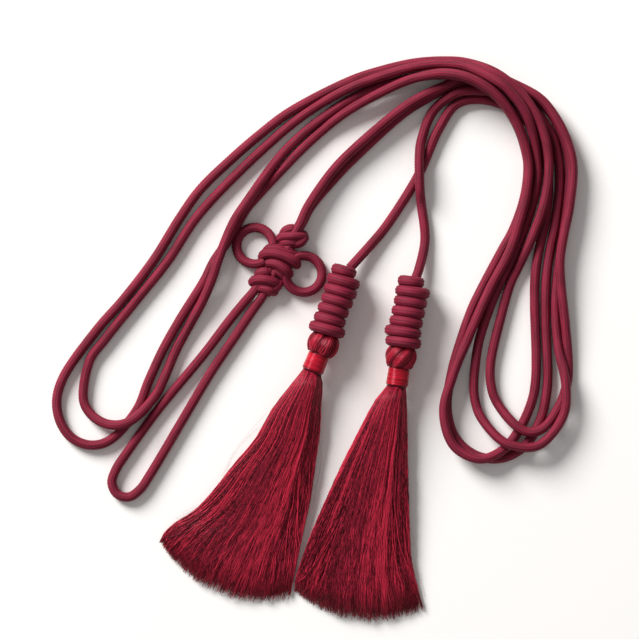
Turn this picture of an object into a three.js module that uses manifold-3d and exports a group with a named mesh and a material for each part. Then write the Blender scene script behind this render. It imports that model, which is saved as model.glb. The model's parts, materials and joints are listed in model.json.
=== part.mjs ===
import * as THREE from 'three';
import { mergeVertices } from 'three/addons/utils/BufferGeometryUtils.js';
import Module from 'manifold-3d';

// A soft round waist cord, folded into a flat bundle and laid on a table.
// Origin: centre of the underside of the middle decorative knot. Z is up.
// All sizes are millimetres.

const wasm = await Module();
wasm.setup();

// ---------------------------------------------------------------- sizes
const CORD_DIAMETER = 5.0;
const CORD_DRAWN_AT = 5.0; // cord that the heights along the routes are drawn for
const CORD_SQUEEZE = 0.8; // soft turns press into each other by this much
const CORD_SIDES = 8;
const STEPS_PER_STRETCH = 2;
const TOUCHING_GAP = 0.3;

const KNOT_HEIGHT = 10.5;
const KNOT_EDGE = 2.2; // rounding of a knot's rim
const KNOT_AXIS_DEG = 59; // direction the three knots are strung along
const KNOT_CENTRE = { x: 0, y: 0, halfLength: 9.6, halfWidth: 6.3, turnDeg: -33 };
const KNOT_UPPER = { x: 6.4, y: 13.9, halfLength: 7.4, halfWidth: 4.5, turnDeg: -20 };
const KNOT_LOWER = { x: -8.5, y: -11.2, halfLength: 7.4, halfWidth: 4.7, turnDeg: -28 };
const CROSSING_UPPER = { x: 3.55, y: 7.75, halfLength: 5.4, halfWidth: 1.35, turnDeg: -27 };
const CROSSING_LOWER = { x: -4.35, y: -6.6, halfLength: 4.6, halfWidth: 0.62, turnDeg: -31 };
const CROSSING_HEIGHT = 8.0;
const CROSSING_EDGE = 0.5;

const EAR_LEFT = { x: -13.3, y: 8.5, radius: 9.6, fromDeg: 0, sweepDeg: 305 };
const EAR_RIGHT = { x: 12.3, y: -6.3, radius: 9.6, fromDeg: 120, sweepDeg: -298 };
const EAR_LIFT = 2.5; // how far an ear loop rises where it enters the knot

const COIL_BORE_RADIUS = 2.8;
const COIL_CORE_RADIUS = 2.35;
const COIL_WRAP_PITCH = 5.3;
const COIL_CLEARANCE = 0.2; // under the widest wrap, or under the head
const SEAT_CLEARANCE = 0.3; // between the head and the hollow it turns in

const HEAD_RADIUS = 8.2;
const HEAD_SUNK = 2.7; // how deep the head sits in the end of the coil
const HEAD_TRIM = 2.5; // taken off the ball where the neck band begins
const HEAD_CAVITY_RADIUS = 4.0;
const HEAD_EYE_RADIUS = 2.4;
const LOOP_RING_RADIUS = 2.4;
const LOOP_THREAD_RADIUS = 1.1;

const BAND_RADIUS = 5.9;
const BAND_LENGTH = 8.7;
const BAND_EDGE = 0.8;
const SKIRT_DRAWN_AT = 14.7; // end of the neck band that the skirt sections are drawn for
const SKIRT_SIDES = 20;

// Each tassel: pivot at the centre of its head, direction of its coil away
// from the head, direction of its skirt, and the radii of the coil's wraps.
const LEFT = {
  pivot: [22.5, -43.3],
  coilDeg: 74.3,
  skirtDeg: 248,
  wraps: [9.3, 8.6, 8.4, 8.6, 8.9, 8.9, 6.8],
};
const RIGHT = {
  pivot: [63.1, -50.0],
  coilDeg: 82.3,
  skirtDeg: 262,
  wraps: [9.3, 9.3, 8.9, 8.9, 8.7, 9.2, 7.1],
};

const COIL_SEAT_RADIUS = HEAD_RADIUS + SEAT_CLEARANCE;
const COIL_START = HEAD_RADIUS - HEAD_SUNK; // end of the coil, measured from the tassel's pivot
const COIL_AXIS_HEIGHT = Math.max(HEAD_RADIUS, ...LEFT.wraps, ...RIGHT.wraps) + COIL_CLEARANCE;
const HEAD_CUT = HEAD_RADIUS - HEAD_TRIM; // below the pivot, where the neck band begins
const BAND_END = HEAD_CUT + TOUCHING_GAP + BAND_LENGTH;

// Points near the top of a coil, where its cord comes in, given from that top.
function atCoilTop(tassel, points) {
  const angle = THREE.MathUtils.degToRad(tassel.coilDeg);
  const reach = COIL_START + COIL_WRAP_PITCH * tassel.wraps.length;
  const topX = tassel.pivot[0] + reach * Math.cos(angle);
  const topY = tassel.pivot[1] + reach * Math.sin(angle);
  return points.map(([x, y, z]) => [topX + x, topY + y, z]);
}

// Skirt sections: left edge, right edge, underside and top height, and how far
// the middle of the section bulges towards the fringe.
const LEFT_SKIRT = [
  [12.6, -55.6, 21.1, -59.0, 4.6, 14.4, 0.2],
  [4.8, -65.4, 22.2, -65.0, 1.6, 15.2, 1.5],
  [-4.4, -77.3, 21.4, -75.4, 0, 14.2, 2.5],
  [-12.8, -92.3, 20.9, -88.4, 0, 12.8, 3.0],
  [-24.4, -106.2, 19.0, -101.6, 0, 11.2, 3.5],
  [-35.5, -120.4, 17.2, -114.8, 0, 9.6, 4.5],
  [-44.4, -129.9, 15.6, -125.2, 0, 8.2, 6.0],
  [-54.9, -136.7, 12.0, -141.0, 0, 6.6, 8.0],
  [-60.2, -141.5, 9.0, -153.4, 0, 5.2, 9.6],
  [-62.9, -146.2, 4.4, -173.4, 0, 3.6, 12.0],
];
const RIGHT_SKIRT = [
  [56.4, -64.3, 65.6, -65.6, 4.6, 14.4, 0.2],
  [49.8, -72.5, 66.0, -70.6, 1.6, 15.2, 1.0],
  [40.8, -89.4, 66.6, -88.3, 0, 14.2, 1.5],
  [31.6, -107.8, 66.8, -104.2, 0, 12.6, 2.0],
  [23.8, -125.2, 67.2, -120.0, 0, 11.0, 2.5],
  [17.0, -141.0, 67.6, -136.2, 0, 9.4, 3.5],
  [12.6, -153.1, 68.4, -153.5, 0, 7.6, 5.0],
  [9.0, -164.2, 70.2, -164.0, 0, 5.8, 7.0],
  [8.4, -171.4, 74.3, -179.6, 0, 3.6, 10.0],
];

// A thicker cord lies on the same table, so its middle is higher.
function raised(points) {
  const lift = (CORD_DIAMETER - CORD_DRAWN_AT) / 2;
  return points.map(([x, y, z]) => [x, y, z + lift]);
}

// ---------------------------------------------------------------- cord routes
// Centre line points on the table, in the order the cord runs.
// Outer half: from the knot along the top and down the right side.
const outerTopRight = [
  [7, 14.5, 7.5], [10.3, 19.8, 7.7], [14.3, 28.5, 7], [27.1, 47.1, 6], [37.7, 58.2, 6.2],
  [64, 80.3, 7.5], [77.1, 88.2, 7.5], [87.1, 92.6, 7.2], [98.7, 98.2, 5.8], [112.9, 97.9, 5.8],
  [119.7, 94.5, 6.8], [133.9, 87.1, 7.5], [139.7, 81.8, 7.5], [148.1, 68.4, 7.5],
  [153.1, 52.1, 7.5], [151.8, 30.6, 7.5], [147.9, 10.6, 7.5], [146.5, 0.1, 7.8],
];
// Outer half: the hanging loop farthest right and its way back up.
const outerThirdLoop = [
  [147.1, -12, 6.8], [149.6, -33.6, 4.6], [151.3, -55.2, 2.5], [150.5, -64.1, 2.5],
  [145.5, -77.3, 3.2], [137.1, -87.5, 7.8], [130.2, -89.1, 8], [123.4, -85.7, 7.5],
  [113.4, -73.1, 2.5], [110.7, -64.6, 2.5], [110.4, -53.6, 2.5], [116, -28.4, 2.5],
  [121, -11, 2.5], [125.2, -2.1, 3], [132.9, 15, 6.8], [138.9, 33.7, 8],
];
// Outer half: over the top and down to the far left.
const outerTopLeft = [
  [140.5, 54.8, 8.2], [136, 72.4, 10.2], [126, 87.6, 11.8], [112.9, 98.4, 12],
  [97.1, 104.5, 5.5], [86.6, 105.5, 2.8], [70.8, 104.5, 2.5], [52.4, 100.3, 2.5],
  [36.6, 95, 2.5], [5, 78.7, 2.5], [-10.7, 66.9, 2.5], [-26.5, 53.2, 2.5], [-42.3, 37.7, 2.5],
  [-52.8, 22.9, 2.5], [-66, 1.6, 2.5], [-82.3, -19.7, 2.5],
];
// Outer half: round the big left loop and back up to the top.
const outerLeftLoop = [
  [-95.9, -35.2, 2.5], [-114.1, -61, 2.5], [-117.4, -73.6, 2.5], [-114.9, -85.2, 2.5],
  [-108.6, -93, 2.5], [-99.1, -96.2, 2.5], [-89.6, -93.6, 2.5], [-75.4, -77.8, 2.5],
  [-69.1, -62.5, 2.5], [-61.6, -46.2, 2.5], [-52.8, -30.5, 2.5], [-39.7, -9.4, 2.5],
  [-35, 0.1, 2.5], [-26.8, 12.2, 2.5], [-18.1, 27.4, 2.5], [-12.6, 34, 2.5], [1.9, 49.5, 2.5],
  [10.3, 58.2, 2.5], [20.8, 67.9, 2.5], [31.3, 76.3, 4],
];
// Outer half: over the top crossing into the nearest hanging loop.
const outerInnerTurn = [
  [41.9, 83, 5.8], [62.9, 93.4, 8.5], [72.4, 96.4, 10.8], [85.5, 98.2, 14.6],
  [98.7, 95.5, 16.5], [113.4, 86.3, 15], [123.9, 72.1, 10.2], [129.4, 55.8, 7.5],
  [130.2, 47.4, 7.5], [128.5, 32.7, 7.5], [126.3, 24.8, 7.5], [120.5, 6.4, 7.2],
  [109.6, -14.7, 6.5], [100, -36.2, 7], [90.3, -59.9, 7.8], [85.6, -78.8, 7.8],
  [91.1, -96.5, 7.8], [104.5, -103.2, 7.8], [116, -99.1, 6.2],
];
// Outer half: up again, round the inside of the top and down to the left coil.
const outerToCoil = [
  [125, -88.8, 2.5], [132.3, -72.5, 2.5], [134.1, -62, 2.5], [134.4, -48.9, 2.5],
  [133.6, -22.6, 2.5], [133.9, -6.8, 2.5], [136.8, 11.1, 2.5], [139.2, 21.1, 2.5],
  [140.8, 40, 2.5], [139.2, 57.9, 2.5], [135.5, 66.3, 2.5], [122.6, 79.5, 2.5],
  [106, 85.3, 2.5], [92.6, 82.9, 2.5], [83.1, 69.5, 2.5], [73.7, 47.9, 2.5], [68.2, 37.9, 2.5],
  [55, 17.9, 2.5], [47.1, 8.5, 3.5],
  ...atCoilTop(LEFT, [[5.97, 2.89, 5], [2.57, -0.81, 6]]),
];
const outerHalfRoute = raised([
  ...outerTopRight,
  ...outerThirdLoop,
  ...outerTopLeft,
  ...outerLeftLoop,
  ...outerInnerTurn,
  ...outerToCoil,
]);

// Inner half: from the knot along the top and down the right side.
const innerTopRight = [
  [7.5, 14.5, 2.5], [11.6, 20.6, 2.5], [15.7, 28.5, 2.5], [30.3, 45.8, 2.5], [41.3, 56.9, 2.5],
  [65, 78.2, 2.5], [77.9, 86.3, 2.5], [87.6, 91.3, 2.5], [105, 94.8, 2.5], [112.9, 93.7, 2.5],
  [126.6, 89.5, 2.5], [139.4, 81.1, 2.5], [147.6, 67.9, 2.5], [151.7, 52.1, 2.5],
  [150.9, 31.6, 2.5], [147.9, 11.1, 2.5],
];
// Inner half: the middle hanging loop and its way back up.
const innerSecondLoop = [
  [146.5, 0.1, 2.5], [144.4, -22, 2.5], [146, -45.2, 4], [149.5, -64.1, 7.8],
  [148.6, -79.4, 7.8], [138.9, -93.6, 8.2], [131.8, -97, 8.8], [117.6, -94.6, 9.2],
  [106.3, -83.1, 4.5], [103, -75.7, 2.5], [101.6, -66.2, 2.5], [103.6, -45.2, 2.5],
  [106, -35.7, 2.5], [113.7, -14.7, 2.5], [123.1, 4.8, 2.5], [130, 22.4, 3], [135, 43.2, 3.8],
];
// Inner half: over the top and down to the left.
const innerTopLeft = [
  [133.9, 59.5, 6], [128.9, 76.3, 12.2], [119.7, 88.7, 15.5], [112.9, 93.9, 15.5],
  [97.1, 101.8, 10], [86.6, 103.4, 7.2], [70.8, 102.1, 7.2], [52.4, 97, 7], [36.6, 91.2, 5.8],
  [20.8, 82.7, 4], [5, 71.6, 2.5], [-26.5, 42.5, 2.5], [-44.9, 22.1, 2.5], [-58.6, 1.1, 2.5],
  [-75.4, -19.9, 2.5],
];
// Inner half: round the inner left loop and back up to the top.
const innerLeftLoop = [
  [-92.3, -41, 2.5], [-99.9, -51.5, 2.5], [-103.3, -72.5, 2.5], [-99.1, -80.2, 3.5],
  [-91.7, -84.7, 5.5], [-83.3, -85.2, 7.5], [-76, -81.7, 7.5], [-65.4, -69.9, 4.5],
  [-61.4, -62, 3.5], [-54.7, -46.2, 2.5], [-46.2, -30.5, 3.5], [-40.4, -19.9, 5.2],
  [-35.5, -8.4, 6.8], [-32, 2.2, 7.5], [-24.4, 20.6, 7.5], [-17.6, 31.1, 7.5], [1.7, 57.3, 3],
  [22.4, 75.7, 2.5],
];
// Inner half: under the outer half into the nearest hanging loop.
const innerInnerTurn = [
  [41.9, 87.9, 2.5], [62.9, 95, 3.5], [79.2, 97.7, 7.6], [91.8, 97.2, 11.2],
  [98.7, 95.4, 11.8], [113.4, 86.2, 10.2], [123.9, 72.1, 5.2], [129.4, 55.8, 2.5],
  [130, 47.4, 2.5], [127.9, 32.7, 2.5], [122.1, 16.4, 2.5], [116.6, 6.4, 2.5],
  [105.4, -14.7, 2.5], [100.4, -25.2, 2.5], [93.2, -46.2, 2.5], [90.3, -56.8, 2.5],
  [87.6, -77.3, 2.5], [92.4, -93, 2.5], [103.9, -102, 2.5], [117.1, -102.8, 2.5],
];
// Inner half: up again, over the inside of the top and down to the right coil.
const innerToCoil = [
  [128.4, -96.5, 2.5], [136.5, -83.1, 2.5], [140.3, -64.6, 2.5], [139.9, -43.6, 2.5],
  [139.3, -30.5, 2.5], [139.7, -9.4, 2.5], [142.3, 9.5, 2.5], [144.1, 17.9, 2.5],
  [146.5, 37.9, 2.5], [146.7, 47.4, 2.5], [143.7, 64.2, 2.5], [135.8, 77.1, 2.8],
  [129.7, 82.1, 4], [113.9, 88.4, 5.8], [98.7, 89.7, 6.2], [91.8, 88.2, 5.5], [80.3, 79.2, 3],
  [74, 63.7, 4], [72.9, 55.3, 6.8], [73.2, 39, 6.5], [74, 30.6, 3], [76, 11.6, 2.5],
  ...atCoilTop(RIGHT, [[3.79, 3.58, 5.5], [2.29, -0.62, 6]]),
];
const innerHalfRoute = raised([
  ...innerTopRight,
  ...innerSecondLoop,
  ...innerTopLeft,
  ...innerLeftLoop,
  ...innerInnerTurn,
  ...innerToCoil,
]);

// The loop that closes the belt: two legs and a round end.
const closingLoopRoute = raised([
  [-11.2, -11.4, 5.2], [-13.8, -15.4, 4.8], [-18.6, -20.9, 3.2], [-26.5, -30.5, 2.5],
  [-38.6, -46.5, 2.5], [-47, -56.8, 2.5], [-64.6, -78.1, 2.5], [-79.6, -98.8, 2.5],
  [-86.4, -109.2, 2.5], [-88.4, -116, 2.5], [-85.6, -121.8, 2.5], [-79.6, -123.4, 2.5],
  [-73.6, -119.4, 2.5], [-68.4, -111.8, 2.5], [-61.8, -100.9, 2.5], [-54.4, -88.3, 2.5],
  [-35.6, -56.8, 2.5], [-24.9, -41, 2.5], [-14.3, -25.2, 3], [-9.6, -18.6, 4.5],
  [-6.6, -13, 5.2],
]);

// ---------------------------------------------------------------- materials
const COLOURS = {
  cord: 0x6a1a2e,
  silk: 0xa3202f,
  satin: 0xc42c34,
};

function cloth(colour, roughness) {
  return new THREE.MeshStandardMaterial({ color: colour, roughness, metalness: 0 });
}

function named(geometry, name, colour, roughness) {
  const mesh = new THREE.Mesh(geometry, cloth(colour, roughness));
  mesh.name = name;
  return mesh;
}

// ---------------------------------------------------------------- solids
function toManifold(geometry) {
  const bare = geometry.clone();
  bare.deleteAttribute('normal');
  bare.deleteAttribute('uv');
  const joined = mergeVertices(bare, 1e-4);
  return new wasm.Manifold(new wasm.Mesh({
    numProp: 3,
    vertProperties: new Float32Array(joined.attributes.position.array),
    triVerts: new Uint32Array(joined.index.array),
  }));
}

function toGeometry(solid) {
  const mesh = solid.getMesh();
  const geometry = new THREE.BufferGeometry();
  geometry.setAttribute('position', new THREE.BufferAttribute(new Float32Array(mesh.vertProperties), 3));
  geometry.setIndex(new THREE.BufferAttribute(new Uint32Array(mesh.triVerts), 1));
  geometry.computeVertexNormals();
  return geometry;
}

function trimmed(geometry, cutters) {
  let solid = toManifold(geometry);
  for (const cutter of cutters) {
    solid = solid.subtract(toManifold(cutter));
  }
  return toGeometry(solid);
}

// ---------------------------------------------------------------- cords
// A curve through hand-laid points that puts the same number of steps into
// every stretch, so tight bends, where the points are close, stay round.
class Route extends THREE.CatmullRomCurve3 {
  getPointAt(t) {
    return this.getPoint(t);
  }

  getTangentAt(t) {
    return this.getTangent(t);
  }

  getSpacedPoints(divisions) {
    return this.getPoints(divisions);
  }
}

function cordSection(diameter) {
  const section = new THREE.Shape();
  const radius = diameter / 2;
  for (let i = 0; i < CORD_SIDES; i += 1) {
    const angle = (2 * Math.PI * i) / CORD_SIDES;
    const x = radius * Math.cos(angle);
    const y = radius * Math.sin(angle);
    if (i === 0) {
      section.moveTo(x, y);
    } else {
      section.lineTo(x, y);
    }
  }
  section.closePath();
  return section;
}

function cordAlong(points) {
  const route = new Route(points.map((p) => new THREE.Vector3(...p)), false, 'centripetal');
  const geometry = new THREE.ExtrudeGeometry(cordSection(CORD_DIAMETER - CORD_SQUEEZE), {
    steps: STEPS_PER_STRETCH * (points.length - 1),
    extrudePath: route,
  });
  return geometry;
}

function earPoints(ear) {
  const count = 12;
  const points = [];
  for (let i = 0; i <= count; i += 1) {
    const share = i / count;
    const angle = THREE.MathUtils.degToRad(ear.fromDeg + ear.sweepDeg * share);
    const lift = EAR_LIFT * Math.pow(Math.abs(2 * share - 1), 3);
    points.push([
      ear.x + ear.radius * Math.cos(angle),
      ear.y + ear.radius * Math.sin(angle),
      CORD_DIAMETER / 2 + lift,
    ]);
  }
  return points;
}

// ---------------------------------------------------------------- knots
function stadium(halfLength, halfWidth) {
  const shape = new THREE.Shape();
  const straight = halfLength - halfWidth;
  shape.moveTo(-straight, -halfWidth);
  shape.lineTo(straight, -halfWidth);
  shape.absarc(straight, 0, halfWidth, -Math.PI / 2, Math.PI / 2, false);
  shape.lineTo(-straight, halfWidth);
  shape.absarc(-straight, 0, halfWidth, Math.PI / 2, 1.5 * Math.PI, false);
  return shape;
}

// A knot lying on the table: a rounded block, larger by `grow` all round.
function knotBlock(knot, height, edge, grow) {
  const shape = stadium(knot.halfLength - edge + grow, knot.halfWidth - edge + grow);
  const geometry = new THREE.ExtrudeGeometry(shape, {
    depth: height - 2 * edge + 2 * grow,
    bevelEnabled: true,
    bevelThickness: edge,
    bevelSize: edge,
    bevelSegments: 3,
    curveSegments: 8,
  });
  geometry.translate(0, 0, edge - grow);
  geometry.rotateZ(THREE.MathUtils.degToRad(knot.turnDeg));
  geometry.translate(knot.x, knot.y, 0);
  return geometry;
}

// ---------------------------------------------------------------- coils and tassel heads
// Lathe profiles are drawn along +Y from the pivot, then laid down so that
// +Y points along `deg` in the table plane at the coil's axis height.
function layDown(geometry, pivot, deg) {
  geometry.rotateZ(THREE.MathUtils.degToRad(deg - 90));
  geometry.translate(pivot[0], pivot[1], COIL_AXIS_HEIGHT);
  return geometry;
}

function arc(radius, fromHeight, toHeight, count) {
  const points = [];
  const from = Math.asin(fromHeight / radius);
  const to = Math.asin(toHeight / radius);
  for (let i = 0; i <= count; i += 1) {
    const angle = from + ((to - from) * i) / count;
    points.push(new THREE.Vector2(radius * Math.cos(angle), radius * Math.sin(angle)));
  }
  return points;
}

function coilRing(tassel, grow) {
  const seatTop = Math.sqrt(COIL_SEAT_RADIUS ** 2 - COIL_BORE_RADIUS ** 2);
  const count = tassel.wraps.length;
  const end = COIL_START + COIL_WRAP_PITCH * count + grow;
  const profile = [];
  if (grow > 0) {
    profile.push(new THREE.Vector2(0, COIL_START - grow));
  } else {
    profile.push(new THREE.Vector2(COIL_BORE_RADIUS, end), ...arc(COIL_SEAT_RADIUS, seatTop, COIL_START, 4));
  }
  const bulge = COIL_WRAP_PITCH / 2;
  tassel.wraps.forEach((radius, i) => {
    const middle = COIL_START + COIL_WRAP_PITCH * (i + 0.5);
    for (const share of [-0.9, -0.5, 0, 0.5, 0.9]) {
      const dip = bulge * (1 - Math.sqrt(1 - share * share * 0.95));
      profile.push(new THREE.Vector2(radius - dip + grow, middle + share * bulge));
    }
  });
  if (grow > 0) {
    profile.push(new THREE.Vector2(tassel.wraps[count - 1] - bulge + grow, end));
    profile.push(new THREE.Vector2(0, end));
  } else {
    profile.push(new THREE.Vector2(tassel.wraps[count - 1] - bulge, end));
    profile.push(profile[0].clone());
  }
  return layDown(new THREE.LatheGeometry(profile, 20), tassel.pivot, tassel.coilDeg);
}

function coilCore(tassel) {
  const from = HEAD_RADIUS + 2 * TOUCHING_GAP;
  const to = COIL_START + COIL_WRAP_PITCH * tassel.wraps.length;
  const geometry = new THREE.CylinderGeometry(COIL_CORE_RADIUS, COIL_CORE_RADIUS, to - from, 12);
  geometry.translate(0, (from + to) / 2, 0);
  return layDown(geometry, tassel.pivot, tassel.coilDeg);
}

function tasselHead(tassel) {
  const eyeOuter = Math.sqrt(HEAD_RADIUS ** 2 - HEAD_EYE_RADIUS ** 2);
  const eyeInner = Math.sqrt(HEAD_CAVITY_RADIUS ** 2 - HEAD_EYE_RADIUS ** 2);
  const profile = [
    new THREE.Vector2(0, -HEAD_CUT),
    ...arc(HEAD_RADIUS, -HEAD_CUT, eyeOuter, 10),
    ...arc(HEAD_CAVITY_RADIUS, eyeInner, -HEAD_CAVITY_RADIUS * 0.98, 7),
    new THREE.Vector2(0, -HEAD_CAVITY_RADIUS),
  ];
  const geometry = new THREE.LatheGeometry(profile, 20);
  return layDown(geometry, tassel.pivot, tassel.skirtDeg + 180);
}

function tasselLoop(tassel) {
  const profile = [];
  const count = 8;
  for (let i = 0; i <= count; i += 1) {
    const angle = (2 * Math.PI * i) / count;
    profile.push(new THREE.Vector2(
      LOOP_RING_RADIUS + LOOP_THREAD_RADIUS * Math.cos(angle),
      LOOP_THREAD_RADIUS * Math.sin(angle),
    ));
  }
  profile[count] = profile[0].clone();
  return layDown(new THREE.LatheGeometry(profile, 16), tassel.pivot, tassel.coilDeg);
}

function neckBand(tassel) {
  const from = -HEAD_CUT - TOUCHING_GAP;
  const to = -BAND_END;
  const profile = [
    new THREE.Vector2(0, to),
    new THREE.Vector2(BAND_RADIUS - BAND_EDGE, to),
    new THREE.Vector2(BAND_RADIUS, to + BAND_EDGE),
    new THREE.Vector2(BAND_RADIUS, from - BAND_EDGE),
    new THREE.Vector2(BAND_RADIUS - BAND_EDGE, from),
    new THREE.Vector2(0, from),
  ];
  return layDown(new THREE.LatheGeometry(profile, 20), tassel.pivot, tassel.skirtDeg + 180);
}

// ---------------------------------------------------------------- skirts
// A closed cylinder whose rings are laid onto the skirt's sections, flat
// underneath and rounded on top, starting just past the neck band.
function skirt(tassel, sections) {
  const rings = sections.length - 1;
  const geometry = new THREE.CylinderGeometry(1, 1, 1, SKIRT_SIDES, rings);
  const place = geometry.attributes.position;
  const angle = THREE.MathUtils.degToRad(tassel.skirtDeg);
  const shiftX = (BAND_END - SKIRT_DRAWN_AT) * Math.cos(angle);
  const shiftY = (BAND_END - SKIRT_DRAWN_AT) * Math.sin(angle);
  for (let i = 0; i < place.count; i += 1) {
    const ring = Math.round((0.5 - place.getY(i)) * rings);
    const across = place.getX(i);
    const up = place.getZ(i);
    const [leftX, leftY, rightX, rightY, low, high, bulge] = sections[ring];
    const alongX = rightX - leftX;
    const alongY = rightY - leftY;
    const width = Math.hypot(alongX, alongY);
    const share = (across + 1) / 2;
    const push = bulge * (1 - across * across);
    const middle = (low + high) / 2;
    place.setXYZ(
      i,
      leftX + alongX * share + (push * alongY) / width + shiftX,
      leftY + alongY * share - (push * alongX) / width + shiftY,
      Math.max(low, middle + (up * (high - low)) / 2),
    );
  }
  return geometry;
}

// ---------------------------------------------------------------- assembly
const object = new THREE.Group();
object.name = 'waist_cord';

const knots = [
  knotBlock(KNOT_CENTRE, KNOT_HEIGHT, KNOT_EDGE, TOUCHING_GAP),
  knotBlock(KNOT_UPPER, KNOT_HEIGHT, KNOT_EDGE, TOUCHING_GAP),
  knotBlock(KNOT_LOWER, KNOT_HEIGHT, KNOT_EDGE, TOUCHING_GAP),
  knotBlock(CROSSING_UPPER, CROSSING_HEIGHT, CROSSING_EDGE, TOUCHING_GAP),
  knotBlock(CROSSING_LOWER, CROSSING_HEIGHT, CROSSING_EDGE, TOUCHING_GAP),
];
const grownCoils = [coilRing(LEFT, TOUCHING_GAP), coilRing(RIGHT, TOUCHING_GAP)];

// A thicker cord is pressed flat where it meets the halves laid before it.
const outerTube = cordAlong(outerHalfRoute);
const innerTube = cordAlong(innerHalfRoute);

function addCord(name, points, cutters) {
  object.add(named(trimmed(cordAlong(points), cutters), name, COLOURS.cord, 0.55));
}

addCord('cord_strand_left', outerHalfRoute, [...knots, grownCoils[0]]);
addCord('cord_strand_right', innerHalfRoute, [...knots, grownCoils[1], outerTube]);
addCord('closing_loop', closingLoopRoute, [...knots, outerTube, innerTube]);
addCord('ear_loop_left', earPoints(EAR_LEFT), [...knots, outerTube, innerTube]);
addCord('ear_loop_right', earPoints(EAR_RIGHT), [...knots, outerTube, innerTube, ...grownCoils]);

function addKnot(name, knot, height, edge) {
  object.add(named(knotBlock(knot, height, edge, 0), name, COLOURS.cord, 0.55));
}

addKnot('knot_centre', KNOT_CENTRE, KNOT_HEIGHT, KNOT_EDGE);
addKnot('knot_upper', KNOT_UPPER, KNOT_HEIGHT, KNOT_EDGE);
addKnot('knot_lower', KNOT_LOWER, KNOT_HEIGHT, KNOT_EDGE);
addKnot('knot_crossing_upper', CROSSING_UPPER, CROSSING_HEIGHT, CROSSING_EDGE);
addKnot('knot_crossing_lower', CROSSING_LOWER, CROSSING_HEIGHT, CROSSING_EDGE);

function addTassel(side, tassel, sections) {
  object.add(named(coilRing(tassel, 0), `coil_knot_${side}`, COLOURS.cord, 0.55));
  object.add(named(coilCore(tassel), `coil_core_${side}`, COLOURS.cord, 0.55));
  object.add(named(tasselLoop(tassel), `tassel_loop_${side}`, COLOURS.silk, 0.5));
  object.add(named(tasselHead(tassel), `tassel_head_${side}`, COLOURS.silk, 0.5));
  object.add(named(neckBand(tassel), `neck_band_${side}`, COLOURS.satin, 0.35));
  object.add(named(skirt(tassel, sections), `skirt_${side}`, COLOURS.silk, 0.5));
}

addTassel('left', LEFT, LEFT_SKIRT);
addTassel('right', RIGHT, RIGHT_SKIRT);

export default object;
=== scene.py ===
# %% [markdown]
# # A folded waist cord with two tassels
#
# The object is one long, round, braided cord. It is folded into a flat bundle on a
# table. A small knot with two ears joins its halves, and each end is wound into a coil
# knot that carries a silk tassel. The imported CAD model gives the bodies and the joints.
# The routes below repeat its points. The coils and the fringe are up to 1 mm wider than
# its solids. This lesson adds what CAD leaves out: braid, wound thread and loose silk.

import json
import math

import bmesh
import bpy
import numpy as np
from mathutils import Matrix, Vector


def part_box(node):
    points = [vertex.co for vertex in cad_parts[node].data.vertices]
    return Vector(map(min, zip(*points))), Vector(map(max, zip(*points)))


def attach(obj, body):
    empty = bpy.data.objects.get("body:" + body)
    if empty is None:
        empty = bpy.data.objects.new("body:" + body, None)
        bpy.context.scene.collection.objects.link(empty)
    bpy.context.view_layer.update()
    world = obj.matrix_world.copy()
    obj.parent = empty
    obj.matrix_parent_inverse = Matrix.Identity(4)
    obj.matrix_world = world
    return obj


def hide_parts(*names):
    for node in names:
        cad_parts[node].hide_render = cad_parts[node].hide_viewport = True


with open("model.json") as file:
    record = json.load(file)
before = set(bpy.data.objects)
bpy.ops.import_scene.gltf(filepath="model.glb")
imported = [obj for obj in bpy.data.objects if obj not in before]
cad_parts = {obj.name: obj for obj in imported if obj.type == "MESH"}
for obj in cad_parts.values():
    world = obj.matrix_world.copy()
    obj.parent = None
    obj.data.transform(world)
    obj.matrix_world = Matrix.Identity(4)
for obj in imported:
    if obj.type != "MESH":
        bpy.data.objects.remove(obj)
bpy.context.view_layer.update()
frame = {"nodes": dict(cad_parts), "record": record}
MM = 0.001
rng = np.random.default_rng(7)

# %% [markdown]
# ## Camera
# The bundle lies flat, so the camera looks straight down from well above it. A long
# lens from far away keeps the tall coil knots from leaning outwards.

# %% Camera straight above the bundle
CAMERA_CENTRE = (20.6 * MM, -30.2 * MM)
CAMERA_HEIGHT = 1.6
VIEW_WIDTH = 336.1 * MM

camera_data = bpy.data.cameras.new("camera")
camera_data.sensor_width = 36
camera_data.lens = 36 * CAMERA_HEIGHT / VIEW_WIDTH
camera = bpy.data.objects.new("camera", camera_data)
bpy.context.scene.collection.objects.link(camera)
camera.location = (*CAMERA_CENTRE, CAMERA_HEIGHT)
bpy.context.scene.camera = camera
print("lens in mm:", round(camera_data.lens, 1))

# %% [markdown]
# ## Routes of the cord
# The cord is soft, so its shape is its route: points along the middle of the cord, in
# millimetres, joined by one smooth curve. The points were placed and then thinned by a
# program, which kept the curve within 0.8 mm. A centripetal curve is used because it
# never overshoots where a tight bend follows a long straight run.

# %% Points along the two halves and the closing loop
# Outer half: from the knot along the top and down the right side.
outer_top_right = [
    (7, 14.5, 7.5), (10.3, 19.8, 7.7), (14.3, 28.5, 7), (27.1, 47.1, 6), (37.7, 58.2, 6.2),
    (64, 80.3, 7.5), (77.1, 88.2, 7.5), (87.1, 92.6, 7.2), (98.7, 98.2, 5.8), (112.9, 97.9, 5.8),
    (119.7, 94.5, 6.8), (133.9, 87.1, 7.5), (139.7, 81.8, 7.5), (148.1, 68.4, 7.5),
    (153.1, 52.1, 7.5), (151.8, 30.6, 7.5), (147.9, 10.6, 7.5), (146.5, 0.1, 7.8),
]
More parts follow.
